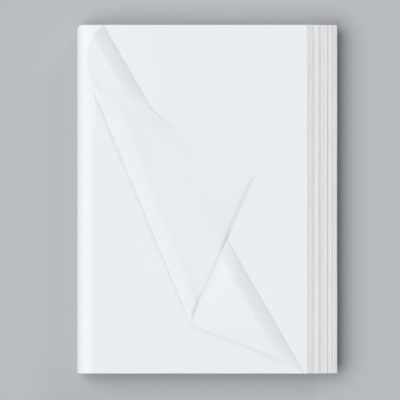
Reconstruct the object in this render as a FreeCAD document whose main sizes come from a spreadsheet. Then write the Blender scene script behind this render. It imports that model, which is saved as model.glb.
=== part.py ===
import FreeCAD, Part

import math
import os

import Sketcher
from FreeCAD import Placement, Rotation, Vector

# A ream of tissue paper, folded once across its middle and lying flat.
# X runs from the spine (-X) to the open edges (+X), Y from the tail edge to
# the head edge, Z up. The origin is the centre of the footprint, on the table.
SIZES = [
    ("sheet_width", 700, "open sheet, across the fold"),
    ("sheet_height", 500, "open sheet, along the fold"),
    ("quire_thickness", 1.21, "24 sheets, lying loosely pressed"),
    ("leaf_thickness", 0.4, "top sheet, drawn thicker than tissue so that it is a solid"),
    ("fold_core", 0.2, "radius left open in the innermost fold"),
    ("outer_drag", 5.5, "how far the outermost quire's upper leaf is dragged to the spine"),
    ("bunch_slip", 3.4, "how far the quires of one bunch close up"),
    ("jog_reach", 0.6, "how far a quire stands out of line at head and tail"),
    ("top_drag", 8.6, "how far the top sheet's upper leaf is dragged to the spine"),
    ("turn_lead", 1.3, "flat leaf between the spine and the turn's bend, at the head edge"),
    ("turn_reach", 12, "depth of the turn's bend"),
    ("turn_height", 4.6, "rise of the turned layer at the turn"),
    ("roll_head_inset", -8.9, "head end of the second roll, from the spine line"),
    ("roll_head_drop", 77.3, "head end of the second roll, below the head edge"),
    ("roll_head_reach", 14, "depth of the roll's bend at its head end"),
    ("roll_head_height", 5, "height of the roll at its head end"),
    ("roll_tail_inset", 137.7, "tail end of the second roll, from the spine line"),
    ("roll_tail_rise", 73.6, "tail end of the second roll, above the tail edge"),
    ("roll_tail_reach", 4, "depth of the roll's bend at its tail end"),
    ("roll_tail_height", 1.6, "height of the roll at its tail end"),
    ("tip_inset", 232.5, "tip of the flap, from the spine line"),
    ("tip_drop", 210.9, "tip of the flap, below the head edge"),
    ("crest_lift", 0.8, "air between the flap and the turn that it passes over"),
    ("crest_reach", 15, "how far the flap bends each side of the turn that it lies over"),
    ("layer_gap", 0.3, "air between two layers of the top sheet"),
]
QUIRE_COUNT = 20
BUNCH_COUNT = 8
JOG_STEP = 2.4
QUARTER_WEIGHT = math.sqrt(0.5)


def make_size_sheet(doc):
    """Put each driving size in the spreadsheet, with its name as the alias."""
    sheet = doc.addObject("Spreadsheet::Sheet", "Sizes")
    for row, (name, value, note) in enumerate(SIZES, start=1):
        sheet.set(f"A{row}", name)
        sheet.set(f"B{row}", str(value))
        sheet.setAlias(f"B{row}", name)
        sheet.set(f"C{row}", note)
    doc.recompute()
    return sheet


def quire_radius(place):
    """Expression for the radius at the outside of the quire that lies `place` from the core."""
    return f"(Sizes.fold_core + {place} * Sizes.quire_thickness)"


STACK_RADIUS = f"({quire_radius(QUIRE_COUNT)} + Sizes.leaf_thickness)"
SPINE_LINE = f"(({STACK_RADIUS} - (Sizes.sheet_width - pi * Sizes.fold_core) / 2) / 2)"


def quire_drag(place):
    """Expression for how far a quire's upper leaf is dragged towards the spine.

    The drag grows from the core outward. On top of it the quires slid in bunches: each bunch
    closes up, and the next one starts with a step, which leaves ledges along the open edges.
    """
    share = (place - 1) / (QUIRE_COUNT - 1)
    place_in_bunch = (place - 1) * BUNCH_COUNT / QUIRE_COUNT % 1
    return f"({share:.4f} * Sizes.outer_drag - {place_in_bunch:.4f} * Sizes.bunch_slip)"


def leaf_reach(radius, drag):
    """Expression for a leaf's length from the spine line: half the sheet less its share of bend."""
    return f"(Sizes.sheet_width - pi * {radius}) / 2 - {drag}"


def draw_quire_outline(sketch, place):
    """Draw one folded quire from the side: two leaves joined round the spine, with creep."""
    start = {name: value for name, value, _ in SIZES}
    inner = start["fold_core"] + (place - 1) * start["quire_thickness"]
    outer = inner + start["quire_thickness"]
    middle = start["fold_core"] + QUIRE_COUNT * start["quire_thickness"] + start["leaf_thickness"]
    reach = start["sheet_width"] / 2 - outer
    ends = [
        (Vector(reach, middle + outer, 0), Vector(0, middle + outer, 0)),
        (Vector(0, middle - outer, 0), Vector(reach, middle - outer, 0)),
        (Vector(reach, middle - outer, 0), Vector(reach, middle - inner, 0)),
        (Vector(reach, middle - inner, 0), Vector(0, middle - inner, 0)),
        (Vector(0, middle + inner, 0), Vector(reach, middle + inner, 0)),
        (Vector(reach, middle + inner, 0), Vector(reach, middle + outer, 0)),
    ]
    circles = [Part.Circle(Vector(0, middle, 0), Vector(0, 0, 1), radius)
               for radius in (outer, inner)]
    lines = [Part.LineSegment(*pair) for pair in ends]
    arcs = [Part.ArcOfCircle(circle, math.pi / 2, 3 * math.pi / 2) for circle in circles]
    sketch.addGeometry(lines + arcs, False)
    top, bottom, low_end, low_inner, top_inner, top_end, spine, core = range(8)

    for line in (top, bottom, low_inner, top_inner):
        sketch.addConstraint(Sketcher.Constraint("Horizontal", line))
    for joint in ((top, 2, spine, 1), (spine, 2, bottom, 1),
                  (low_inner, 2, core, 2), (core, 1, top_inner, 1)):
        sketch.addConstraint(Sketcher.Constraint("Tangent", *joint))
    for joint in ((bottom, 2, low_end, 1), (low_end, 2, low_inner, 1),
                  (top_inner, 2, top_end, 1), (top_end, 2, top, 1), (spine, 3, core, 3)):
        sketch.addConstraint(Sketcher.Constraint("Coincident", *joint))
    sketch.addConstraint(Sketcher.Constraint("PointOnObject", spine, 3, -2))

    outside, inside = quire_radius(place), quire_radius(place - 1)
    drag = quire_drag(place)
    named_sizes = [
        ("middle", ("DistanceY", -1, 1, spine, 3), middle, STACK_RADIUS),
        ("outside", ("Radius", spine), outer, outside),
        ("inside", ("Radius", core), inner, inside),
        ("upper_outer", ("DistanceX", spine, 3, top, 1), reach, leaf_reach(outside, drag)),
        ("upper_inner", ("DistanceX", spine, 3, top_inner, 2), reach, leaf_reach(inside, drag)),
        ("lower_outer", ("DistanceX", spine, 3, bottom, 2), reach,
         leaf_reach(outside, f"(0 - {drag})")),
        ("lower_inner", ("DistanceX", spine, 3, low_end, 2), reach,
         leaf_reach(inside, f"(0 - {drag})")),
    ]
    for name, constraint, value, expression in named_sizes:
        index = sketch.addConstraint(Sketcher.Constraint(*constraint, value))
        sketch.renameConstraint(index, name)
        sketch.setExpression(f"Constraints.{name}", expression)


def make_quire(doc, number):
    """One quire of 24 sheets. Number 1 is the outermost, right under the top sheet."""
    place = QUIRE_COUNT + 1 - number
    body = doc.addObject("PartDesign::Body", f"Quire{number:02d}")
    body.Label = f"quire_{number:02d}"
    plane = next(part for part in body.Origin.OriginFeatures if part.Role == "XZ_Plane")
    sketch = body.newObject("Sketcher::SketchObject", f"Outline{number:02d}")
    sketch.AttachmentSupport = (plane, [""])
    sketch.MapMode = "FlatFace"
    draw_quire_outline(sketch, place)
    pad = body.newObject("PartDesign::Pad", f"Leaves{number:02d}")
    pad.Profile = sketch
    pad.Midplane = True
    pad.setExpression("Length", "Sizes.sheet_height")
    body.Tip = pad
    body.setExpression(".Placement.Base.x", SPINE_LINE)
    jog = math.sin(JOG_STEP * number)
    body.setExpression(".Placement.Base.y", f"Sizes.jog_reach * {jog:.4f}")
    return body


def toward(start, goal, distance):
    """The point that lies `distance` from start on the way to goal."""
    return start + (goal - start).normalize() * distance


def raised(point, height):
    """The same plan point at another height."""
    return Vector(point.x, point.y, height)


def run(start, end):
    """A straight run of a rail, as poles with weights."""
    return [(start, 1.0), (end, 1.0)]


def quarter(start, corner, end):
    """A quarter of an ellipse that leaves start and reaches end along the corner's sides."""
    return [(start, 1.0), (corner, QUARTER_WEIGHT), (end, 1.0)]


def gentle_bend(start, corner, end):
    """A shallow bend that rounds a corner."""
    return [(start, 1.0), (corner, 1.0), (end, 1.0)]


class TopSheet:
    """The outermost sheet, folded round the ream, with its free corner turned over twice.

    The sheet lies between two rails: the head rail and the tail rail. Each rail is a path of
    straight runs joined by bends that turn it back over itself: round the spine, back at the
    diagonal turn and forward again at the roll, then over the turn to the tip. Both rails end
    at the tip, which is the sheet's own corner.
    """

    def __init__(self, sheet):
        for name, _, _ in SIZES:
            setattr(self, name, float(sheet.get(name)))
        self.radius = (self.fold_core + QUIRE_COUNT * self.quire_thickness
                       + self.leaf_thickness)
        longest_leaf = (self.sheet_width - math.pi * self.fold_core) / 2
        self.spine_line = (self.radius - longest_leaf) / 2
        leaf = (self.sheet_width - math.pi * self.radius) / 2
        self.upper_reach = leaf - self.top_drag
        self.lower_reach = leaf + self.top_drag
        head, tail = self.sheet_height / 2, -self.sheet_height / 2
        self.tip = self.plan(self.tip_inset, head - self.tip_drop)
        self.turns = [self.plan(self.turn_lead + self.turn_reach, head),
                      self.plan(self.upper_reach, tail)]
        self.rolls = [self.plan(self.roll_head_inset, head - self.roll_head_drop),
                      self.plan(self.roll_tail_inset, tail + self.roll_tail_rise)]
        self.roll_reaches = [self.roll_head_reach, self.roll_tail_reach]
        self.roll_heights = [self.roll_head_height, self.roll_tail_height]

    def plan(self, inset, y):
        """A plan point, from its distance to the spine line."""
        return Vector(self.spine_line + inset, y, 0)

    def over_turn(self, start):
        """Where a straight line from start to the tip passes over the diagonal turn."""
        head, tail = self.turns
        across = (tail - head).cross(Vector(0, 0, 1)).normalize()
        depth, beyond = (start - head).dot(across), (self.tip - head).dot(across)
        return start + (self.tip - start) * (depth / (depth - beyond))

    def corners(self, side):
        """The rail's corners on the sheet's middle: each turn back has a low and a high one."""
        turn, roll = self.turns[side], self.rolls[side]
        spine = self.plan(self.leaf_thickness / 2 - self.radius, turn.y)
        bottom = self.leaf_thickness / 2
        top = 2 * self.radius - bottom
        turned = top + self.turn_height
        rolled = top + self.leaf_thickness + self.layer_gap
        start = raised(self.plan(self.lower_reach, turn.y), bottom)
        turn_backs = [
            (raised(spine, bottom), raised(spine, top)),
            (raised(turn, top), raised(turn, turned)),
            (raised(roll, rolled), raised(roll, rolled + self.roll_heights[side])),
        ]
        crest = raised(self.over_turn(roll), turned + self.leaf_thickness + self.crest_lift)
        tip = raised(self.tip, top + self.layer_gap)
        return start, turn_backs, crest, tip

    def rail(self, side, offset):
        """The curves along one side of the sheet, on the skin that is offset from its middle.

        A positive offset is the skin that faces out where the sheet wraps the ream. Each turn
        back carries it to the other face, so the lift changes sign there.
        """
        start, turn_backs, crest, tip = self.corners(side)
        reaches = [self.radius - self.leaf_thickness / 2, self.turn_reach,
                   self.roll_reaches[side]]
        before = [start] + [high for _, high in turn_backs]
        after = [low for low, _ in turn_backs[1:]] + [crest]
        shift, lift = Vector(-offset, 0, 0), Vector(0, 0, -offset)
        place = start + lift
        curves = []
        for (low, high), reach, last, following in zip(turn_backs, reaches, before, after):
            entry = toward(low, last, reach) + lift
            middle = (low + high) / 2 + shift
            leave = toward(high, following, reach) - lift
            curves += [run(place, entry), quarter(entry, low + lift + shift, middle),
                       quarter(middle, high - lift + shift, leave)]
            place, lift = leave, lift * -1
        entry, leave = (toward(crest, goal, self.crest_reach) + lift
                        for goal in (turn_backs[-1][1], tip))
        curves += [run(place, entry), gentle_bend(entry, crest + lift, leave),
                   run(leave, tip + lift)]
        return curves

    def shape(self):
        """Close the two skins with strips along both rails and the lower leaf's free end."""
        half = self.leaf_thickness / 2
        rails = {(side, skin): self.rail(side, skin * half) for side in (0, 1) for skin in (1, -1)}
        pairs = [((0, 1), (1, 1)), ((0, -1), (1, -1)), ((0, 1), (0, -1)), ((1, 1), (1, -1))]
        faces = [
            face_between(first, second)
            for left, right in pairs
            for first, second in zip(rails[left], rails[right])
        ]
        free_end = [[(rails[side, skin][0][0][0], 1.0) for side in (0, 1)] for skin in (1, -1)]
        faces.append(face_between(*free_end))
        shell = Part.Shell(faces)
        shell.sewShape()
        solid = Part.Solid(shell)
        if solid.Volume < 0:
            solid.reverse()
        return solid


def face_between(first, second):
    """The face between two rail curves: flat where it can be, otherwise ruled."""
    corners = [first[0][0], first[-1][0], second[-1][0], second[0][0]]
    if corners[1].isEqual(corners[2], 1e-7):
        corners.pop(2)
    if len(first) == 2 and is_flat(corners):
        return Part.Face(Part.makePolygon(corners + corners[:1]))
    degree = len(first) - 1
    surface = Part.BSplineSurface()
    surface.buildFromPolesMultsKnots(
        [[point for point, _ in first], [point for point, _ in second]],
        [2, 2], [degree + 1, degree + 1], [0, 1], [0, 1], False, False, 1, degree,
        [[weight for _, weight in first], [weight for _, weight in second]],
    )
    return surface.toShape()


def is_flat(corners):
    """Whether three or four corners lie in one plane."""
    if len(corners) == 3:
        return True
    normal = (corners[1] - corners[0]).cross(corners[2] - corners[0]).normalize()
    return abs((corners[3] - corners[0]).dot(normal)) < 1e-7


def make_top_sheet(doc, sheet):
    """The outermost sheet as one solid."""
    feature = doc.addObject("Part::Feature", "TopSheet")
    feature.Label = "top_sheet"
    feature.Shape = TopSheet(sheet).shape()
    feature.Placement = Placement(Vector(0, 0, 0), Rotation())
    return feature


def check_document(doc):
    """Stop if any object failed to build."""
    for item in doc.Objects:
        if "Invalid" in item.State or "Error" in item.State:
            raise RuntimeError(f"{item.Label} failed: {item.State}")


def export_pieces(pieces):
    """Write one STEP file per piece."""
    os.makedirs("parts", exist_ok=True)
    for piece in pieces:
        if piece.Shape.isNull() or not piece.Shape.isValid():
            raise RuntimeError(f"{piece.Label} has no valid shape")
        piece.Shape.exportStep(f"parts/{piece.Label}.step")


def main():
    doc = FreeCAD.newDocument("TissueReam")
    sheet = make_size_sheet(doc)
    pieces = [make_top_sheet(doc, sheet)]
    pieces += [make_quire(doc, number) for number in range(1, QUIRE_COUNT + 1)]
    doc.recompute()
    check_document(doc)
    export_pieces(pieces)
    for piece in pieces:
        print(f"{piece.Label}: {piece.Shape.Volume / 1000:.1f} cm3, {len(piece.Shape.Solids)} solid")


main()
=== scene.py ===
"""Dresses the ream of tissue paper: its folded top sheet, its quires of leaves and the stage."""

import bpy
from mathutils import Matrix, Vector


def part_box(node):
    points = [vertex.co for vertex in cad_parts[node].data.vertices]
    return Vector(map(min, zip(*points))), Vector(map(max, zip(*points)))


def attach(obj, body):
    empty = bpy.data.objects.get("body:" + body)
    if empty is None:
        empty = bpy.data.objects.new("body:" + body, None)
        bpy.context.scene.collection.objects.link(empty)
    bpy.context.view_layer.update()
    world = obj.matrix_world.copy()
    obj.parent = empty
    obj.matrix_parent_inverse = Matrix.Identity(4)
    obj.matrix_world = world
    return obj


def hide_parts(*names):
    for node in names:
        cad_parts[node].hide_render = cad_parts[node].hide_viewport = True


bl_info = {
    "name": "Tissue Ream",
    "version": (1, 0, 0),
    "blender": (4, 5, 0),
    "location": "View3D > Sidebar > Ream",
    "description": "Builds a folded ream of tissue paper leaf by leaf",
    "category": "Add Mesh",
}

import math

import bmesh
import bpy
import numpy as np
from bpy.props import FloatProperty, FloatVectorProperty, IntProperty, PointerProperty

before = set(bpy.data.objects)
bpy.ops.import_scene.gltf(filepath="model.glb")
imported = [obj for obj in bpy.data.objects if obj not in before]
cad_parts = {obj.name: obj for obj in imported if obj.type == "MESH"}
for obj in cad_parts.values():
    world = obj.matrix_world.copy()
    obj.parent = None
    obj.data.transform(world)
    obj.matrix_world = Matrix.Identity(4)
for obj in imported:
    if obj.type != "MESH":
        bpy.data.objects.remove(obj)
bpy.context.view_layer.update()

MM = 0.001
QUIRES = sorted(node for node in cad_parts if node.startswith("quire_"))
UP = np.array([0.0, 0.0, 1.0])
SHARP_EDGE = math.radians(40)
# Corners that are closer than this are merged.
WELD = 0.01 * MM


def length(name, description, millimetres):
    """A length property, with its default given in millimetres."""
    return FloatProperty(name=name, description=description, default=millimetres * MM,
                         subtype="DISTANCE", unit="LENGTH", precision=5)


def place(name, description, x, y):
    """A plan position, with its default given in millimetres."""
    return FloatVectorProperty(name=name, description=description, size=2,
                               default=(x * MM, y * MM), subtype="XYZ_LENGTH", unit="LENGTH")


def colour(name, description, red, green, blue):
    """A colour property, with its default given as it shows on a screen, from 0 to 255.

    The screen's curve for all but the darkest colours turns it into the linear value.
    """
    shown = [part / 255 for part in (red, green, blue)]
    linear = [((part + 0.055) / 1.055) ** 2.4 for part in shown]
    return FloatVectorProperty(name=name, description=description, subtype="COLOR",
                               size=3, min=0, max=1, default=linear)


class TISSUE_PG_top_sheet(bpy.types.PropertyGroup):
    """The folded top sheet. Places are measured from the spine line and the head edge."""

    thickness: length("Thickness", "Thickness that the leaf is drawn with", 0.1)
    turn_head: place("Turn, head", "Head end of the diagonal turn", 13.2, 0)
    turn_tail: place("Turn, tail", "Tail end of the diagonal turn", 301.4, -500)
    roll_head: place("Roll, head", "Head end of the second fold", -6.2, -78.5)
    roll_tail: place("Roll, tail", "Tail end of the second fold", 138.4, -426.2)
    tip: place("Tip", "Corner of the sheet, at the end of the flap", 233.4, -212.4)
    crease: length("Crease", "Radius of the turn's crease", 0.12)
    fold: length("Fold", "Radius of the second fold", 0.3)
    puff: length("Puff", "How high the turned layer rises beside its crease", 4.9)
    puff_depth: length("Puff depth", "How far from the crease the layer keeps rising", 21)
    pressed_edge: length("Pressed edge", "Width beside the crease that is pressed flat", 1.8)
    head_pressed: FloatProperty(name="Pressed, head", default=0.38, min=0, max=1,
                                subtype="FACTOR",
                                description="Share of the puff left under the flap's head edge")
    fore_pressed: FloatProperty(name="Pressed, fore", default=0.5, min=0, max=1,
                                subtype="FACTOR",
                                description="Share of the puff left under the flap's fore edge")
    head_float: length("Fold height, head", "Height of the second fold's head end", 1.7)
    tail_float: length("Fold height, tail", "Height of the second fold's tail end", 0.85)
    droop: FloatProperty(name="Droop", default=0.5, min=0, max=1, subtype="FACTOR",
                         description="How far the turned layer's fore edge hangs down")
    head_rise: length("Flap rise, head", "Rise of the flap beside its fold, head end", 2.6)
    tail_rise: length("Flap rise, tail", "Rise of the flap beside its fold, tail end", 1.7)
    head_rise_depth: length("Rise depth, head", "Width of that rise, head end", 27)
    tail_rise_depth: length("Rise depth, tail", "Width of that rise, tail end", 18)
    head_bow: place("Head bow", "Pull that bows the turned head edge by the turn", -20.0, 10.0)
    head_hook: place("Head hook", "Pull that bows the turned head edge by the fold", -14.0, -9.8)
    tail_bow: place("Tail bow", "Pull that bows the turned fore edge by the turn", -15.9, 20.6)
    tail_hook: place("Tail hook", "Pull that bows the turned fore edge by the fold", -46.3, 8.7)
    bulge: length("Bulge", "How far the flap's head edge bulges where it passes the turn", 6.0)
    bulge_place: FloatProperty(name="Bulge place", default=0.33, min=0, max=1, subtype="FACTOR",
                               description="Where the bulge is, as a share of that edge")
    bulge_width: FloatProperty(name="Bulge width", default=0.11, min=0.01, max=1,
                               subtype="FACTOR",
                               description="Half width of the bulge, as a share of that edge")
    gap: length("Gap", "Step between two layers that touch", 0.18)
    air: length("Air", "Height of the flap's middle over the layer below", 0.6)
    loose: length("Loose", "Height of the flap's middle near its tip", 0.6)
    rest: length("Rest", "How far the flap's edge drops below the ream's top, past the crease", 0.15)
    margin: length("Margin", "Width of the flap's edge that lies down on the turned layer", 2.9)
    tip_margin: length("Tip margin", "Width of the flap's edge that lies down near its tip", 4.2)
    groove: length("Groove", "Depth of the groove that the second fold presses", 0.6)
    groove_width: length("Groove width", "Width of that groove", 7.0)
    ripple: length("Ripple", "Height of the sheet's slow ripples", 0.08)


class TISSUE_PG_quires(bpy.types.PropertyGroup):
    """The quires' leaves. Fore edges are measured from the spine line."""

    leaves: IntProperty(name="Leaves", description="Leaves drawn in each quire", default=6, min=1)
    outer_edge: length("Outer edge", "Fore edge of the uppermost leaf", 304.3)
    inner_edge: length("Inner edge", "Fore edge of the innermost leaf", 349.8)
    bunching: FloatProperty(name="Bunching", default=0.3, min=0, max=1, subtype="FACTOR",
                            description="How far the upper fore edges gather into bunches")
    slip: length("Slip", "How far a leaf stands out of its quire at the open edge", 0.18)
    shift: length("Shift", "How far a whole quire stands in or out at the open edge", 0.35)
    jog: length("Jog", "How far a leaf stands out of its quire at head and tail", 0.15)
    wander: length("Wander", "How far a leaf's edge wanders from a straight line", 0.22)
    corner: length("Corner", "How far the spine's head corner is rounded off", 4.5)
    seed: IntProperty(name="Seed", description="Start of the random draws", default=11, min=0)


class TISSUE_PG_paper(bpy.types.PropertyGroup):
    """The paper's finish."""

    face: colour("Face", "Colour of a leaf's face", 236, 240, 243)
    # The edges' neutral white is the paper's own, but they are set lighter than the face as painted
    # light, which makes up for the shade among the stepped leaf ends.
    edge: colour("Edge", "Colour of the leaves' edges", 251, 251, 251)


class TISSUE_PG_stage(bpy.types.PropertyGroup):
    """Floor, light and camera."""

    floor: colour("Floor", "Colour of the floor", 186, 189, 193)
    bounce: FloatProperty(name="Bounce", default=0.45, min=0, max=1, subtype="FACTOR",
                          description="Share of the floor's colour that lights the ream")
    key: FloatProperty(name="Key", description="Strength of the key lamp", default=2.91)
    fill: FloatProperty(name="Fill", description="Strength of the fill lamp", default=0.52)
    sky: FloatProperty(name="Sky", description="Strength of the soft light all round",
                       default=0.12)
    span: length("Span", "Width of the view across the top of the ream", 574.7)
    off_centre: place("Off centre", "Plan point that the camera looks down on", -10.3, -1.2)


# ---------------------------------------------------------------- measuring the frame

def node_points(node):
    """All corners of a frame node's mesh, as one array."""
    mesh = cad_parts[node].data
    points = np.empty(len(mesh.vertices) * 3, np.float32)
    mesh.vertices.foreach_get("co", points)
    return points.reshape(-1, 3).astype(float)


class Ream:
    """The ream's own sizes, read from the frame's nodes."""

    # Where the rounding of the head edge starts and how wide it is, in spine radii.
    ROUNDING_START = 0.78
    ROUNDING_WIDTH = 0.22

    def __init__(self):
        sheet_low, sheet_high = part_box("top_sheet")
        quire_low, quire_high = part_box("quire_01")
        self.radius = (quire_low.z + quire_high.z) / 2
        self.spine_line = sheet_low.x + self.radius
        self.lower_reach = sheet_high.x
        self.head, self.tail = sheet_high.y, sheet_low.y
        self.top = 2 * self.radius

    def plan(self, inset):
        """A plan point from its distances to the spine line and the head edge."""
        return np.array([self.spine_line + inset[0], self.head + inset[1]])

    def rounding(self, x, corner):
        """How far the head edge draws back near the spine: a smooth step, squared."""
        rim_share = (self.spine_line - x) / self.radius
        return corner * smooth_step((rim_share - self.ROUNDING_START) / self.ROUNDING_WIDTH) ** 2


class Quire:
    """One quire's outline, read from its node: radii, leaf ends and head and tail."""

    # Points that differ less than this in height belong to the same leaf.
    SAME_HEIGHT = 0.02 * MM

    def __init__(self, node, spine_line):
        points = node_points(node)
        x, y, z = points.T
        self.middle = (z.min() + z.max()) / 2
        height = np.abs(z - self.middle)
        self.outer = height.max()
        self.inner = height[x > spine_line + MM].min()
        self.head, self.tail = y.max(), y.min()
        self.ends = {
            (leaf, radius): x[np.abs(z - self.middle - leaf * radius) < self.SAME_HEIGHT].max()
            for leaf in (1, -1) for radius in (self.outer, self.inner)
        }

    def end(self, leaf, share):
        """Fore edge of the leaf at a share of the way from the outside to the inside."""
        outer, inner = self.ends[leaf, self.outer], self.ends[leaf, self.inner]
        return outer + (inner - outer) * share


# ---------------------------------------------------------------- mesh code

def smooth_step(value):
    """0 below 0, 1 above 1, and 3v^2 - 2v^3 between them."""
    value = np.clip(value, 0, 1)
    return value * value * (3 - 2 * value)


def fall(value, power=2):
    """A curve that climbs from 0 and levels out at 1: 1 - (1 - v)^power, a parabola for 2."""
    return 1 - (1 - np.clip(value, 0, 1)) ** power


def blend(first, second, share):
    """The value a share of the way from first to second."""
    return first + (second - first) * share


def closed_leaf(middle, normal, thickness):
    """Corners and faces of a thin closed leaf.

    The leaf's two skins are the grid of middle points moved half the thickness along the
    normals, one way and the other, and four rims join them.
    """
    rows, columns = middle.shape[:2]
    skins = np.stack([middle + normal * thickness / 2, middle - normal * thickness / 2])
    index = np.arange(2 * rows * columns).reshape(2, rows, columns)

    def quads(*corners):
        return np.stack([corner.ravel() for corner in corners], axis=1)

    front, back = index
    faces = [
        quads(front[:-1, :-1], front[1:, :-1], front[1:, 1:], front[:-1, 1:]),
        quads(back[:-1, :-1], back[:-1, 1:], back[1:, 1:], back[1:, :-1]),
        quads(front[0, :-1], front[0, 1:], back[0, 1:], back[0, :-1]),
        quads(front[-1, :-1], back[-1, :-1], back[-1, 1:], front[-1, 1:]),
        quads(front[:-1, 0], back[:-1, 0], back[1:, 0], front[1:, 0]),
        quads(front[:-1, -1], front[1:, -1], back[1:, -1], back[:-1, -1]),
    ]
    return skins.reshape(-1, 3), np.concatenate(faces)


def grid_normals(grid):
    """Unit normals of a grid of points: the cross product of its two central differences."""
    normal = np.cross(np.gradient(grid, axis=0), np.gradient(grid, axis=1))
    size = np.linalg.norm(normal, axis=2, keepdims=True)
    return normal / np.maximum(size, 1e-12)


def make_piece(name, corners, faces, layers, materials, slots=None):
    """A mesh object at the origin, with the layers' (run, depth) pairs as its UV map."""
    mesh = bpy.data.meshes.new(name)
    mesh.vertices.add(len(corners))
    mesh.vertices.foreach_set("co", corners.astype(np.float32).ravel())
    mesh.loops.add(faces.size)
    mesh.loops.foreach_set("vertex_index", faces.astype(np.int32).ravel())
    mesh.polygons.add(len(faces))
    mesh.polygons.foreach_set("loop_start", np.arange(0, faces.size, 4, dtype=np.int32))
    mesh.update(calc_edges=True)
    uv = mesh.uv_layers.new(name="layers")
    uv.data.foreach_set("uv", layers[faces.ravel()].astype(np.float32).ravel())
    for material in materials:
        mesh.materials.append(material)
    if slots is not None:
        mesh.polygons.foreach_set("material_index", slots.astype(np.int32))
    mesh.validate()
    piece = bpy.data.objects.new(name, mesh)
    bpy.context.scene.collection.objects.link(piece)
    return piece


def merge_corners(piece, distance):
    """Merge the corners that coincide and smooth the faces that meet gently."""
    mesh = piece.data
    work = bmesh.new()
    work.from_mesh(mesh)
    bmesh.ops.remove_doubles(work, verts=work.verts, dist=distance)
    work.to_mesh(mesh)
    work.free()
    mesh.shade_smooth()
    mesh.set_sharp_from_angle(angle=SHARP_EDGE)


# ---------------------------------------------------------------- the top sheet

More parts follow.
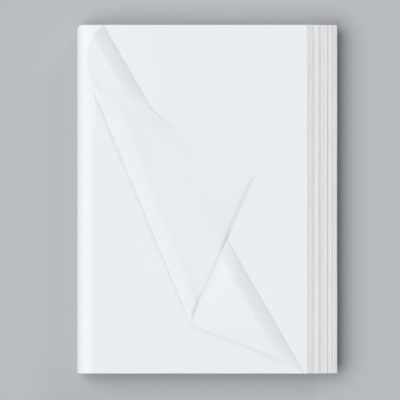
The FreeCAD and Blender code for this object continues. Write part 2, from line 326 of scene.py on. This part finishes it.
class FoldedSheet:
    """The top sheet's surface, as a function of the station along the fold and the way across.

    The station runs from 0 at the head edge to 1 at the tail edge. At each station the sheet
    runs from its lower leaf's free edge round the spine to the diagonal turn, back to the
    second fold, and forward again to the tip, where all the stations meet.
    """

    # How many points the sheet is drawn with: along the fold, across each of its parts, and
    # in half of each bend. The upper leaf's parts lie on either side of the second fold.
    STATIONS = 141
    LOWER_LEAF_POINTS = 16
    SPINE_POINTS = 40
    UPPER_LEAF_POINTS = (26, 8)
    TURNED_POINTS = 84
    FLAP_POINTS = 116
    BEND_POINTS = 6

    # How strongly stations gather at the sheet's two edges, and points at the second fold.
    STATION_GATHERING = 0.6
    FOLD_GATHERING = 2.2

    # How far the pulls on the turned layer's two edges reach, in shares of the fold.
    HEAD_PULL_REACH = 0.13
    TAIL_PULL_REACH = 0.2

    # The ridge of the turned layer: the power of its rise, and how far outside the flap's
    # edges it is free of the flap's weight.
    RIDGE_POWER = 1.4
    FREE_OF_HEAD_EDGE = 14 * MM
    FREE_OF_FORE_EDGE = 34 * MM

    # The turned layer's hanging fore edge: its share of the fold, and its reach beside it.
    HANG_SHARE = 0.06
    HANG_REACH = 35 * MM

    # The flap: the power of its rise beside the fold, the distances from the fold at which
    # it is loose, follows the hump and lies down, the hump's width under the head edge and
    # under the fore edge in puff depths, and how softly rise and hump meet.
    RISE_POWER = 1.7
    LOOSE_FROM_FOLD = 25 * MM
    HUMP_FROM_FOLD = 6 * MM
    LYING_FROM_FOLD = 10 * MM
    HUMP_BY_HEAD = 3.4
    HUMP_BY_FORE = 2.2
    HUMP_SOFTNESS = 0.5 * MM

    # The flap's edges: how far past the crease they come down and their margin grows, the
    # head edge's own margin, and how much of its height the crease holds up and how widely.
    DROP_PAST_CREASE = 5 * MM
    MARGIN_PAST_CREASE = 15 * MM
    HEAD_MARGIN = 13 * MM
    HELD_UP = 0.15
    HELD_UP_WIDTH = 9 * MM
    BULGE_DEPTH = 25 * MM

    # The upper leaf by the second fold: how far out its swell starts and how wide its rise
    # is, its height in groove depths, and where it begins and how it fades along the fold.
    SWELL_START = 40 * MM
    SWELL_WIDTH = 35 * MM
    SWELL_SHARE = 0.75
    SWELL_HEAD = 0.03
    SWELL_FADE = 0.06

    def __init__(self, ream, sizes):
        self.ream, self.sizes = ream, sizes
        even = np.linspace(0, 1, self.STATIONS)[:, None]
        # The first and last stations lie close together, where the edges bow.
        self.station = blend(even, smooth_step(even), self.STATION_GATHERING)
        self.turn_ends = [ream.plan(sizes.turn_head), ream.plan(sizes.turn_tail)]
        self.roll_ends = [ream.plan(sizes.roll_head), ream.plan(sizes.roll_tail)]
        self.tip = ream.plan(sizes.tip)
        self.base = ream.top - sizes.thickness / 2

    @staticmethod
    def beside(ends, plan):
        """Distance of plan points to the left of the line from one end to the other."""
        along = (ends[1] - ends[0]) / np.linalg.norm(ends[1] - ends[0])
        offset = plan - ends[0]
        return offset[..., 1] * along[0] - offset[..., 0] * along[1]

    def inside_turn(self, plan):
        """Distance from the crease of the diagonal turn, under the turned layer."""
        return -self.beside(self.turn_ends, plan)

    def inside_roll(self, plan):
        """Distance from the second fold, under the flap."""
        return self.beside(self.roll_ends, plan)

    def along_roll(self, plan):
        """How far along the second fold plan points lie, from 0 at the head to 1."""
        line = self.roll_ends[1] - self.roll_ends[0]
        return np.clip((plan - self.roll_ends[0]) @ line / (line @ line), 0, 1)

    def bulge(self, plan):
        """How far the flap's head edge bulges out beside plan points: a bell curve along it."""
        line = self.tip - self.roll_ends[0]
        along = (plan - self.roll_ends[0]) @ line / (line @ line)
        reach = (along - self.sizes.bulge_place) / self.sizes.bulge_width
        return self.sizes.bulge * np.exp(-reach ** 2)

    def bulged(self, plan):
        """The flap's plan points moved out by the bulge, which fades exponentially inwards."""
        line = self.tip - self.roll_ends[0]
        outwards = np.array([-line[1], line[0]]) / np.linalg.norm(line)
        inside = np.maximum(self.beside([self.tip, self.roll_ends[0]], plan), 0)
        move = self.bulge(plan) * np.exp(-inside / self.BULGE_DEPTH)
        return plan + move[..., None] * outwards

    def beside_flap(self, plan):
        """Distances of plan points inside the flap's head edge and inside its fore edge."""
        head = self.beside([self.tip, self.roll_ends[0]], plan) + self.bulge(plan)
        fore = self.beside([self.roll_ends[1], self.tip], plan)
        return head, fore

    def fold_height(self, plan):
        """Height of the second fold, which drops evenly from its head end to its tail end."""
        return blend(self.sizes.head_float, self.sizes.tail_float, self.along_roll(plan))

    def ridge_height(self, plan):
        """Height of the turned layer from its ridge beside the crease down to the fold.

        It falls evenly, by the share of the way from the ridge to the fold. The flap presses
        the ridge down, by a share that changes evenly from its head edge to its fore edge.
        Outside the flap the ridge is full again: a smooth step beside each of these edges.
        """
        sizes = self.sizes
        from_ridge = np.maximum(self.inside_turn(plan) - sizes.puff_depth, 0)
        from_fold = np.maximum(self.inside_roll(plan), 0)
        way = from_ridge / np.maximum(from_ridge + from_fold, 1e-6)
        head, fore = self.beside_flap(plan)
        full = np.maximum(smooth_step(-head / self.FREE_OF_HEAD_EDGE),
                          smooth_step(-fore / self.FREE_OF_FORE_EDGE))
        head, fore = np.maximum(head, 0), np.maximum(fore, 0)
        pressed = blend(sizes.head_pressed, sizes.fore_pressed, head / (head + fore + 1e-6))
        ridge = sizes.puff * blend(pressed, 1, full)
        return blend(ridge, self.fold_height(plan), way)

    def turned_height(self, plan):
        """Height of the turned layer: flat at the crease, then the ridge, then the fall.

        The rise to the ridge is a curve that levels out, times one less a bell curve.
        """
        sizes = self.sizes
        inside = np.maximum(self.inside_turn(plan), 0)
        share = fall(inside / sizes.puff_depth, self.RIDGE_POWER)
        share = share * (1 - np.exp(-(inside / sizes.pressed_edge) ** 2))
        return 2 * sizes.crease + self.ridge_height(plan) * share

    def flap_height(self, plan):
        """Height of the flap over the top of the ream.

        From the fold the flap's middle rises in an arc, and from there it comes down evenly
        to its edges, by the share of the way. Over the turned layer it stays on a hump that
        ends past the crease in a smooth step: a smooth maximum of the two. The edges lie
        down on what is below them: a bell curve of the distance to the edge. Another bell
        curve, over the crease, holds the head edge up a little.
        """
        sizes = self.sizes
        share = self.along_roll(plan)
        from_fold = np.maximum(self.inside_roll(plan), 0)
        beyond = -self.inside_turn(plan)
        head, fore = (np.maximum(distance, 0) for distance in self.beside_flap(plan))
        free = smooth_step(from_fold / self.LOOSE_FROM_FOLD)

        rise = blend(sizes.head_rise, sizes.tail_rise, share)
        depth = blend(sizes.head_rise_depth, sizes.tail_rise_depth, share)
        arc = self.fold_height(plan) + 2 * sizes.fold
        arc = arc + rise * fall(from_fold / depth, self.RISE_POWER)
        past_arc = np.maximum(from_fold - depth, 0)
        to_edge = 2 * head * fore / (head + fore + 1e-6)
        arc = blend(arc, sizes.loose, past_arc / (past_arc + to_edge + 1e-6))

        below = self.turned_height(plan)
        hump = 2 * sizes.crease + self.ridge_height(plan) + sizes.gap + sizes.air * free
        from_ridge = beyond + sizes.puff_depth
        from_head = head / (head + fore + 1e-6)
        hump_width = sizes.puff_depth * blend(self.HUMP_BY_HEAD, self.HUMP_BY_FORE, from_head)
        hump = blend(hump, 0, smooth_step(from_ridge / hump_width))
        softness = self.HUMP_SOFTNESS * free
        middle = (arc + hump + np.sqrt((arc - hump) ** 2 + softness ** 2)) / 2
        middle = blend(arc, middle, smooth_step(from_fold / self.HUMP_FROM_FOLD))

        past = 1 - np.exp(-np.maximum(beyond, 0) / self.DROP_PAST_CREASE)
        resting = blend(below + sizes.gap, -sizes.rest, past)
        margin = blend(sizes.margin, sizes.tip_margin,
                       smooth_step(beyond / self.MARGIN_PAST_CREASE))
        held_up = self.HELD_UP * np.exp(-(beyond / self.HELD_UP_WIDTH) ** 2)
        lying = np.maximum(np.exp(-(fore / margin) ** 2),
                           np.exp(-(head / self.HEAD_MARGIN) ** 2) * (1 - held_up))
        lying = lying * smooth_step(from_fold / self.LYING_FROM_FOLD)
        return np.maximum(blend(middle, resting, lying), resting)

    def leaf_height(self, plan):
        """Height of the flat upper leaf, which swells gently towards the second fold.

        It rises in a smooth step and drops in a parabola into the groove along the fold.
        Both fade out in smooth steps towards the fold's two ends.
        """
        sizes = self.sizes
        outside = -self.inside_roll(plan)
        line = self.roll_ends[1] - self.roll_ends[0]
        along = (plan - self.roll_ends[0]) @ line / (line @ line)
        present = (smooth_step((along - self.SWELL_HEAD) / self.SWELL_FADE)
                   * smooth_step((1 - along) / self.SWELL_FADE))
        swell = smooth_step((self.SWELL_START - outside) / self.SWELL_WIDTH)
        drop = 1 - fall(outside / sizes.groove_width)
        return sizes.groove * (self.SWELL_SHARE * swell - drop) * present

    def lift(self, plan, height):
        """Points over the plan at a height above the ream's top."""
        return np.concatenate([plan, (self.base + height)[..., None]], axis=-1)

    def edge_line(self):
        """Y at each station of the part that wraps the ream."""
        return blend(self.ream.head, self.ream.tail, self.station)

    def lower_leaf(self):
        """Flat on the table, from the free edge to the spine line."""
        way = np.linspace(0, 1, self.LOWER_LEAF_POINTS)[None, :]
        x = blend(self.ream.lower_reach, self.ream.spine_line, way) + 0 * self.station
        return np.stack([x, self.edge_line() + 0 * x, 0 * x + self.sizes.thickness / 2], axis=-1)

    def spine(self, corner):
        """Half a circle round the ream, from below to above, with its head corner rounded."""
        angle = np.linspace(0, np.pi, self.SPINE_POINTS)[None, 1:] + 0 * self.station
        radius = self.ream.radius - self.sizes.thickness / 2
        x = self.ream.spine_line - radius * np.sin(angle)
        y = self.edge_line() - self.ream.rounding(x, corner) * (1 - self.station)
        return np.stack([x, y, self.ream.radius - radius * np.cos(angle)], axis=-1)

    def bend(self, before, at, after, low, high):
        """A bend that turns the sheet back over itself, as two quarters of an ellipse.

        at is the outermost plan line; before and after are the plan points where the bend
        starts and ends, at the heights low and high.
        """
        angle = np.linspace(0, np.pi / 2, self.BEND_POINTS)[None, 1:, None]
        middle = (low + high) / 2
        first = at[:, None] + (before - at)[:, None] * (1 - np.sin(angle))
        second = at[:, None] + (after - at)[:, None] * (1 - np.cos(angle))
        rise_first = low + (middle - low) * (1 - np.cos(angle[..., 0]))
        rise_second = middle + (high - middle) * np.sin(angle[..., 0])
        return np.concatenate([self.lift(first, rise_first), self.lift(second, rise_second)],
                              axis=1)

    @staticmethod
    def towards(start, end, distance):
        """Points a distance from start in the direction of end."""
        way = end - start
        return start + distance * way / np.linalg.norm(way, axis=-1, keepdims=True)

    def surface(self, corner):
        """The whole sheet as one grid: stations by points across.

        The turned layer's plan lines are cubic curves with two pulls, which bow its edges
        and fade exponentially away from them.
        """
        sizes, station = self.sizes, self.station
        turn = blend(self.turn_ends[0], self.turn_ends[1], station)
        roll = blend(self.roll_ends[0], self.roll_ends[1], station)

        near_head = np.exp(-station / self.HEAD_PULL_REACH)
        near_tail = np.exp(-(1 - station) / self.TAIL_PULL_REACH)
        head_bow, head_hook, tail_bow, tail_hook = (
            np.array(pull) for pull in (sizes.head_bow, sizes.head_hook, sizes.tail_bow,
                                        sizes.tail_hook)
        )
        first_pull = blend(turn, roll, 1 / 3) + head_bow * near_head + tail_bow * near_tail
        second_pull = blend(turn, roll, 2 / 3) + head_hook * near_head + tail_hook * near_tail
        turned_start = self.towards(turn, first_pull, sizes.crease)
        turned_end = self.towards(roll, second_pull, sizes.fold)
        way = np.linspace(0, 1, self.TURNED_POINTS)[None, :, None]
        turned = ((1 - way) ** 3 * turned_start[:, None]
                  + 3 * way * (1 - way) ** 2 * first_pull[:, None]
                  + 3 * way ** 2 * (1 - way) * second_pull[:, None]
                  + way ** 3 * turned_end[:, None])
        # Away from the fold, the fore edge hangs down: a smooth step over the last stations.
        hang = sizes.droop * (1 - smooth_step((1 - station) / self.HANG_SHARE))
        hang = hang * smooth_step(self.inside_roll(turned) / self.HANG_REACH)
        turned_height = blend(self.turned_height(turned), 2 * sizes.crease, hang)

        before_turn = turn - np.array([sizes.crease, 0.0])
        spine_end = np.concatenate([self.ream.spine_line + 0 * station, self.edge_line()], axis=1)
        # The upper leaf's points gather at the second fold, where its groove is.
        reach = -self.inside_roll(np.stack([spine_end, before_turn]))
        least, most = 0.06, 0.94
        at_fold = np.clip(reach[0] / (reach[0] - reach[1]), least, most)[:, None]
        to_fold, from_fold = self.UPPER_LEAF_POINTS
        gather = 1 - np.linspace(1, 0, to_fold)[None, 1:] ** self.FOLD_GATHERING
        beyond_fold = np.linspace(0, 1, from_fold)[None, 1:]
        leaf_way = np.concatenate([at_fold * gather, blend(at_fold, 1, beyond_fold)], axis=1)
        upper = blend(spine_end[:, None], before_turn[:, None], leaf_way[..., None])

        flap_start = self.towards(roll, self.tip, sizes.fold)
        flap_way = np.linspace(0, 1, self.FLAP_POINTS)[None, :, None]
        flap = self.bulged(blend(flap_start[:, None], self.tip[None, None], flap_way))
        flap_height = self.flap_height(flap)
        upper_height = self.leaf_height(upper)
        parts = [
            self.lower_leaf(),
            self.spine(corner),
            self.lift(upper, upper_height),
            self.bend(before_turn, turn, turned[:, 0], upper_height[:, -1:],
                      turned_height[:, :1]),
            self.lift(turned[:, 1:], turned_height[:, 1:]),
            self.bend(turned[:, -1], roll, flap[:, 0], turned_height[:, -1:],
                      flap_height[:, :1]),
            self.lift(flap[:, 1:], flap_height[:, 1:]),
        ]
        return np.concatenate(parts, axis=1)


def add_ripple(grid, height, top):
    """Lift the sheet's upper layers by slow crossed waves: a sum of sines over the plan.

    The numbers beside x and y are radians a metre. The sum is levelled out by its
    hyperbolic tangent, and the waves start in a smooth step over the ream's top.
    """
    x, y = grid[..., 0], grid[..., 1]
    winding = np.sin(x * 31 + 1.3 * np.sin(y * 17))
    crossing = np.sin(y * 23 + x * 11)
    short = 0.6 * np.sin(x * 67 - y * 41)
    start = 0.5 * MM
    share = smooth_step((grid[..., 2] - top) / start)
    grid[..., 2] += height * (0.5 + 0.5 * np.tanh(winding + crossing + short)) * share
    return grid


def run_along(grid):
    """Distance along each row of the grid, from its first point."""
    steps = np.linalg.norm(np.diff(grid, axis=1), axis=2)
    return np.concatenate([np.zeros((len(grid), 1)), np.cumsum(steps, axis=1)], axis=1)


def build_top_sheet(ream, sizes, corner, material):
    """The folded top sheet as one closed leaf."""
    grid = add_ripple(FoldedSheet(ream, sizes).surface(corner), sizes.ripple, ream.top)
    normal = grid_normals(grid)
    normal[:, -1] = UP
    corners, faces = closed_leaf(grid, normal, sizes.thickness)
    stations, across = grid.shape[:2]
    run = np.tile(run_along(grid).ravel(), 2)
    line = np.tile(np.repeat(np.linspace(0, 1, stations), across), 2)
    piece = make_piece("top_sheet_paper", corners, faces, np.stack([run, line], axis=1),
                       [material])
    merge_corners(piece, WELD)
    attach(piece, "root")
    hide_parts("top_sheet")
    return piece


# ---------------------------------------------------------------- the quires

# Where a leaf's first points lie behind its fore edge, and how many points it has along the
# fold and round the spine.
LIP = np.array([0.0, 0.6, 3.0, 12.0, 40.0]) * MM
LEAF_ROWS = 49
LEAF_BEND_POINTS = 15
# Share of its room that a leaf fills, and how quickly the corner's rounding grows headwards.
LEAF_FILL = 0.98
CORNER_POWER = 6
# A wandering edge is a sum of waves with these turns, which get lower by this power of them.
WANDER_TURNS = (0.7, 1.9, 4.3)
WANDER_POWER = 0.7


def leaf_grid(ream, quire, share, ends, wander, jogs, corner):
    """Middle points and normals of one leaf, wrapped round the spine.

    The leaf runs from its upper fore edge round half a circle to its lower fore edge. Rows
    run from tail to head. wander moves the fore edges along the rows, and jogs the ends.
    """
    radius = blend(quire.outer, quire.inner, share)
    line = np.linspace(0, 1, LEAF_ROWS)[:, None]
    columns = []
    for leaf, end, drift in zip((1, -1), ends, wander):
        edge = end + drift[:, None]
        x = np.concatenate([edge - LIP[None, :], blend(edge - LIP[-1], ream.spine_line, 0.5),
                            0 * edge + ream.spine_line], axis=1)
        columns.append((x, 0 * x + quire.middle + leaf * radius, 0 * x, 0 * x + leaf))
    angle = np.linspace(0, np.pi, LEAF_BEND_POINTS)[None, 1:-1] + 0 * line
    bend = (ream.spine_line - radius * np.sin(angle), quire.middle + radius * np.cos(angle),
            -np.sin(angle), np.cos(angle))
    upper, lower = columns
    x, z, across, up = (
        np.concatenate([first, middle, last[:, ::-1]], axis=1)
        for first, middle, last in zip(upper, bend, lower)
    )
    y = blend(quire.tail + jogs[0], quire.head + jogs[1], line)
    y = y - ream.rounding(x, corner) * line ** CORNER_POWER
    return np.stack([x, y, z], axis=-1), np.stack([across, 0 * across, up], axis=-1)


def wandering_line(draws, height):
    """A slow random line: a sum of sines whose phases are drawn at random."""
    way = np.linspace(0, 1, LEAF_ROWS)
    phases = draws.uniform(0, 2 * np.pi, len(WANDER_TURNS))
    sines = [np.sin(2 * np.pi * turns * way + phase) / turns ** WANDER_POWER
             for turns, phase in zip(WANDER_TURNS, phases)]
    return height * sum(sines) / 2


def build_quire(node, number, ream, sizes, draws, face_material, edge_material_with_painted_light):
    """One quire as a stack of closed leaves, each a little out of line with the next.

    The upper fore edges follow an even slope from the uppermost to the innermost leaf, mixed
    with the frame's own bunches. The lower ones are the frame's.
    """
    quire = Quire(node, ream.spine_line)
    room = (quire.outer - quire.inner) / sizes.leaves
    thickness = room * LEAF_FILL
    corners, faces, layers, slots = [], [], [], []
    count = 0
    shift = draws.normal(0, sizes.shift, 1).clip(-2 * sizes.shift, 2 * sizes.shift)
    for leaf in range(sizes.leaves):
        share = (leaf + 0.5) / sizes.leaves
        radius = blend(quire.outer, quire.inner, share)
        even = ream.spine_line + blend(sizes.inner_edge, sizes.outer_edge, radius / ream.radius)
        upper = blend(even, quire.end(1, share), sizes.bunching) + shift
        slips = draws.normal(0, sizes.slip, 2).clip(-2 * sizes.slip, 2 * sizes.slip)
        jogs = draws.uniform(-sizes.jog, sizes.jog, 2)
        wander = [wandering_line(draws, sizes.wander) for _ in range(2)]
        ends = (upper + slips[0], quire.end(-1, share) + slips[1])
        grid, normal = leaf_grid(ream, quire, share, ends, wander, jogs, sizes.corner)
        points, quads = closed_leaf(grid, normal, thickness)
        run = run_along(grid).ravel()
        layers.append(np.stack([
            np.tile(run, 2),
            np.repeat([radius + thickness / 2, radius - thickness / 2], run.size),
        ], axis=1))
        corners.append(points)
        faces.append(quads + count)
        outermost = number == 1 and leaf == 0
        slots.append(np.full(len(quads), 0 if outermost else 1))
        count += len(points)
    piece = make_piece(f"{node}_leaves", np.concatenate(corners), np.concatenate(faces),
                       np.concatenate(layers), [face_material, edge_material_with_painted_light],
                       np.concatenate(slots))
    piece.data.shade_smooth()
    piece.data.set_sharp_from_angle(angle=SHARP_EDGE)
    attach(piece, "root")
    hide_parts(node)
    return piece


# ---------------------------------------------------------------- paper

def paper_material(name, tint, layered):
    """Soft uncoated tissue: faint clouding, fine fibres and a slow crinkle.

    A layered paper also shows the leaves' own edges, as fine lines along the layers, and broader
    bands of painted shade like that between bunches of leaves.
    """
    material = bpy.data.materials.new(name)
    material.use_nodes = True
    nodes, links = material.node_tree.nodes, material.node_tree.links
    shader = nodes["Principled BSDF"]
    shader.inputs["Roughness"].default_value = 0.86
    shader.inputs["Specular IOR Level"].default_value = 0.22
    shader.inputs["Sheen Weight"].default_value = 0.06
    shader.inputs["Sheen Roughness"].default_value = 0.6

    spot = nodes.new("ShaderNodeTexCoord")

    def noise(source, scale, detail):
        node = nodes.new("ShaderNodeTexNoise")
        node.inputs["Scale"].default_value = scale
        node.inputs["Detail"].default_value = detail
        links.new(source, node.inputs["Vector"])
        return node.outputs["Fac"]

    def bump(height, strength, distance):
        node = nodes.new("ShaderNodeBump")
        node.inputs["Strength"].default_value = strength
        node.inputs["Distance"].default_value = distance
        links.new(height, node.inputs["Height"])
        return node

    cloud = noise(spot.outputs["Object"], scale=34, detail=5)
    cloud_shade = 0.99
    shades = nodes.new("ShaderNodeValToRGB")
    dark, light = shades.color_ramp.elements
    dark.position, light.position = 0.32, 0.68
    dark.color = (*[part * cloud_shade for part in tint], 1)
    light.color = (*tint, 1)
    links.new(cloud, shades.inputs["Fac"])

    fibre = noise(spot.outputs["Object"], scale=2600, detail=3)
    crinkle = noise(spot.outputs["Object"], scale=120, detail=4)
    fine = bump(fibre, strength=0.25, distance=0.02 * MM)
    slow = bump(crinkle, strength=0.2, distance=0.12 * MM)
    links.new(slow.outputs["Normal"], fine.inputs["Normal"])
    links.new(fine.outputs["Normal"], shader.inputs["Normal"])
    surface = shades.outputs["Color"]

    if layered:
        # Fine lines leaf by leaf, and broader bands, darker at random through the stack, which are
        # painted shade
        # like that between bunches of leaves: lines a metre along the leaf and through the stack.
        for lines in ((12, 9000, 1), (3, 420, 1)):
            stretch = nodes.new("ShaderNodeMapping")
            stretch.inputs["Scale"].default_value = lines
            links.new(spot.outputs["UV"], stretch.inputs["Vector"])
            leaf_lines_and_painted_shade = noise(stretch.outputs["Vector"], scale=1, detail=2)
            darker = nodes.new("ShaderNodeMapRange")
            darker.inputs["From Min"].default_value = 0.35
            darker.inputs["From Max"].default_value = 0.6
            darker.inputs["To Min"].default_value = 0.975
            darker.inputs["To Max"].default_value = 1.0
            links.new(leaf_lines_and_painted_shade, darker.inputs["Value"])
            shade = nodes.new("ShaderNodeVectorMath")
            shade.operation = "SCALE"
            links.new(surface, shade.inputs[0])
            links.new(darker.outputs["Result"], shade.inputs["Scale"])
            surface = shade.outputs["Vector"]
    links.new(surface, shader.inputs["Base Color"])
    return material


def floor_material(name, tint, bounce):
    """A plain matt floor, pale where it is seen and darker for the light that it throws back."""
    material = bpy.data.materials.new(name)
    material.use_nodes = True
    nodes, links = material.node_tree.nodes, material.node_tree.links
    shader = nodes["Principled BSDF"]
    shader.inputs["Roughness"].default_value = 0.9
    shader.inputs["Specular IOR Level"].default_value = 0.1
    rays = nodes.new("ShaderNodeLightPath")
    seen = rays.outputs["Is Camera Ray"]
    for kind in ("Is Glossy Ray", "Is Transmission Ray"):
        either = nodes.new("ShaderNodeMath")
        either.operation = "MAXIMUM"
        links.new(seen, either.inputs[0])
        links.new(rays.outputs[kind], either.inputs[1])
        seen = either.outputs["Value"]
    pick = nodes.new("ShaderNodeMix")
    pick.data_type = "RGBA"
    pick.inputs["A"].default_value = (*[part * bounce for part in tint], 1)
    pick.inputs["B"].default_value = (*tint, 1)
    links.new(seen, pick.inputs["Factor"])
    links.new(pick.outputs["Result"], shader.inputs["Base Color"])
    return material


# ---------------------------------------------------------------- operators

def paper(context, kind):
    """The shared paper material of one kind, made when it is first asked for."""
    name = f"tissue_{kind}"
    known = bpy.data.materials.get(name)
    tint = getattr(context.scene.tissue_paper, kind)
    return known or paper_material(name, tuple(tint), layered=kind == "edge")


class TISSUE_OT_top_sheet(bpy.types.Operator):
    """Fold the top sheet round the ream, with its corner turned over twice"""

    bl_idname = "tissue.top_sheet"
    bl_label = "Top Sheet"

    def execute(self, context):
        build_top_sheet(Ream(), context.scene.tissue_top_sheet,
                        context.scene.tissue_quires.corner, paper(context, "face"))
        return {"FINISHED"}


class TISSUE_OT_quires(bpy.types.Operator):
    """Lay up the quires, leaf by leaf"""

    bl_idname = "tissue.quires"
    bl_label = "Quires"

    def execute(self, context):
        sizes = context.scene.tissue_quires
        ream, draws = Ream(), np.random.default_rng(sizes.seed)
        for number, node in enumerate(QUIRES, start=1):
            build_quire(node, number, ream, sizes, draws, paper(context, "face"),
                        paper(context, "edge"))
        return {"FINISHED"}


class TISSUE_OT_stage(bpy.types.Operator):
    """Set the pale floor, the soft light from the spine's side and the camera overhead"""

    bl_idname = "tissue.stage"
    bl_label = "Stage"

    # Half the side of the floor, in metres.
    FLOOR_REACH = 3.0
    # Each lamp's width, tilt from overhead and bearing, in degrees.
    LAMPS = {"key": (72, 31, 178), "fill": (14, 68, 58)}
    # The camera's focal length and the width of its sensor, in millimetres.
    FOCAL_LENGTH = 800
    SENSOR_WIDTH = 36

    def execute(self, context):
        sizes, scene = context.scene.tissue_stage, context.scene
        self.lay_floor(sizes)
        self.light(scene, sizes)
        self.aim_camera(scene, sizes)
        scene.view_settings.view_transform = "Standard"
        return {"FINISHED"}

    def lay_floor(self, sizes):
        """A square of floor with its top at the table's level."""
        signs = np.array([(-1, -1, 0), (1, -1, 0), (1, 1, 0), (-1, 1, 0)])
        corners = signs * self.FLOOR_REACH
        floor = make_piece("floor", corners, np.array([[0, 1, 2, 3]]), corners[:, :2],
                           [floor_material("floor", tuple(sizes.floor), sizes.bounce)])

    def light(self, scene, sizes):
        """A wide soft lamp from the spine's side, a low weak one across, and an even sky."""
        for name, (width, tilt, bearing) in self.LAMPS.items():
            lamp = bpy.data.lights.new(name, "SUN")
            lamp.energy = getattr(sizes, name)
            lamp.angle = math.radians(width)
            sun = bpy.data.objects.new(name, lamp)
            # A lamp shines down its own -Z: tilted about Y, then turned to its bearing.
            sun.rotation_euler = (0, math.radians(tilt), math.radians(bearing))
            scene.collection.objects.link(sun)
        world = bpy.data.worlds.new("sky")
        world.use_nodes = True
        backdrop = world.node_tree.nodes["Background"]
        backdrop.inputs["Color"].default_value = (1, 1, 1, 1)
        backdrop.inputs["Strength"].default_value = sizes.sky
        scene.world = world

    def aim_camera(self, scene, sizes):
        """Straight down on the ream through a long lens, head edge up."""
        lens = bpy.data.cameras.new("overhead")
        lens.lens = self.FOCAL_LENGTH
        lens.sensor_width = self.SENSOR_WIDTH
        distance = sizes.span * self.FOCAL_LENGTH / self.SENSOR_WIDTH
        lens.clip_end = 2 * distance
        camera = bpy.data.objects.new("overhead", lens)
        camera.location = (*sizes.off_centre, Ream().top + distance)
        scene.collection.objects.link(camera)
        scene.camera = camera


class TISSUE_PT_ream(bpy.types.Panel):
    """Lists what builds the ream"""

    bl_idname = "TISSUE_PT_ream"
    bl_label = "Tissue Ream"
    bl_space_type = "VIEW_3D"
    bl_region_type = "UI"
    bl_category = "Ream"

    def draw(self, context):
        groups = (
            (context.scene.tissue_paper, None),
            (context.scene.tissue_top_sheet, TISSUE_OT_top_sheet),
            (context.scene.tissue_quires, TISSUE_OT_quires),
            (context.scene.tissue_stage, TISSUE_OT_stage),
        )
        for group, operator in groups:
            box = self.layout.box()
            for name in group.__annotations__:
                box.prop(group, name)
            if operator:
                box.operator(operator.bl_idname)


GROUPS = {
    "tissue_top_sheet": TISSUE_PG_top_sheet,
    "tissue_quires": TISSUE_PG_quires,
    "tissue_paper": TISSUE_PG_paper,
    "tissue_stage": TISSUE_PG_stage,
}
CLASSES = (*GROUPS.values(), TISSUE_OT_top_sheet, TISSUE_OT_quires, TISSUE_OT_stage,
           TISSUE_PT_ream)


def register():
    """Register the classes and hang each group of sizes on the scene."""
    for kind in CLASSES:
        bpy.utils.register_class(kind)
    for name, group in GROUPS.items():
        setattr(bpy.types.Scene, name, PointerProperty(type=group))


def unregister():
    """Undo what register did, in the opposite order."""
    for name in GROUPS:
        delattr(bpy.types.Scene, name)
    for kind in reversed(CLASSES):
        bpy.utils.unregister_class(kind)


def main():
    register()
    bpy.ops.tissue.top_sheet()
    bpy.ops.tissue.quires()
    bpy.ops.tissue.stage()


if __name__ == "__main__":
    main()
